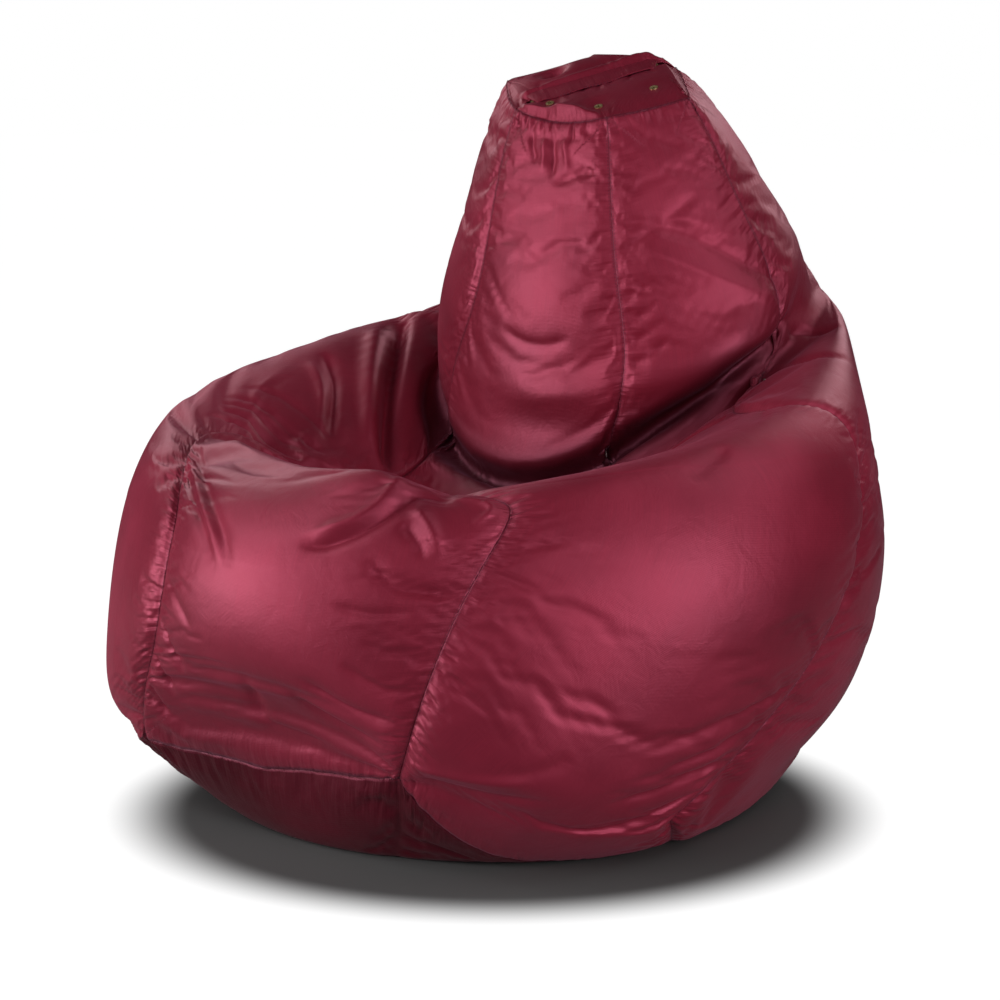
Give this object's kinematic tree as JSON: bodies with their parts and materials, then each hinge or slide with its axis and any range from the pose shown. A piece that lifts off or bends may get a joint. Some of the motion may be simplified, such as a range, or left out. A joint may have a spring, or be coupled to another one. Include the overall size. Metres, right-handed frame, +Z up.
{
  "type": "bean bag chair",
  "caption": "Pear-shaped burgundy nylon bean bag chair, sat into, with a hollow seat, a leaning backrest and a zipped hexagonal top under a placket.",
  "frame": {"origin": "on the floor under the middle of the bag's outline", "axes": "+Z up, the seat faces -Y, +X to the right when looking along +Y"},
  "size_m": [0.9331, 0.8962, 0.8648],
  "materials": {
    "burgundy_oxford_nylon": "satin",
    "zip_tape": "matte",
    "zip_coil": "satin",
    "antique_brass": "satin",
    "liner_cloth": "matte",
    "foam_beads": "matte"
  },
  "bodies": {
    "bag": {"gore_front": "burgundy_oxford_nylon", "gore_front_right": "burgundy_oxford_nylon", "gore_rear_right": "burgundy_oxford_nylon", "gore_rear": "burgundy_oxford_nylon", "gore_rear_left": "burgundy_oxford_nylon", "gore_front_left": "burgundy_oxford_nylon", "base_panel": "burgundy_oxford_nylon", "top_half_front": "burgundy_oxford_nylon", "top_half_rear": "burgundy_oxford_nylon", "placket_hem": "burgundy_oxford_nylon", "zip_tape_front": "zip_tape", "zip_tape_rear": "zip_tape", "zip_coil_front": "zip_coil", "zip_coil_rear": "zip_coil", "zip_top_stops": "antique_brass", "zip_bottom_stop": "antique_brass", "eyelets": "antique_brass", "eyelet_washers": "antique_brass", "liner_front": "liner_cloth", "liner_rear": "liner_cloth", "bead_fill": "foam_beads"},
    "slider": {"zip_slider": "antique_brass"},
    "flap": {"placket_flap": "burgundy_oxford_nylon"}
  },
  "joints": [
    {"name": "zip", "type": "slide", "parent": "bag", "child": "slider", "axis": [-0.6722, -0.6868, -0.2764], "range_m": [0, 0.1424]},
    {"name": "placket", "type": "hinge", "parent": "bag", "child": "flap", "pos_m": [-0.01204, 0.19825, 0.84112], "axis": [-0.6722, -0.6868, -0.2764], "range_deg": [0, 120]}
  ]
}
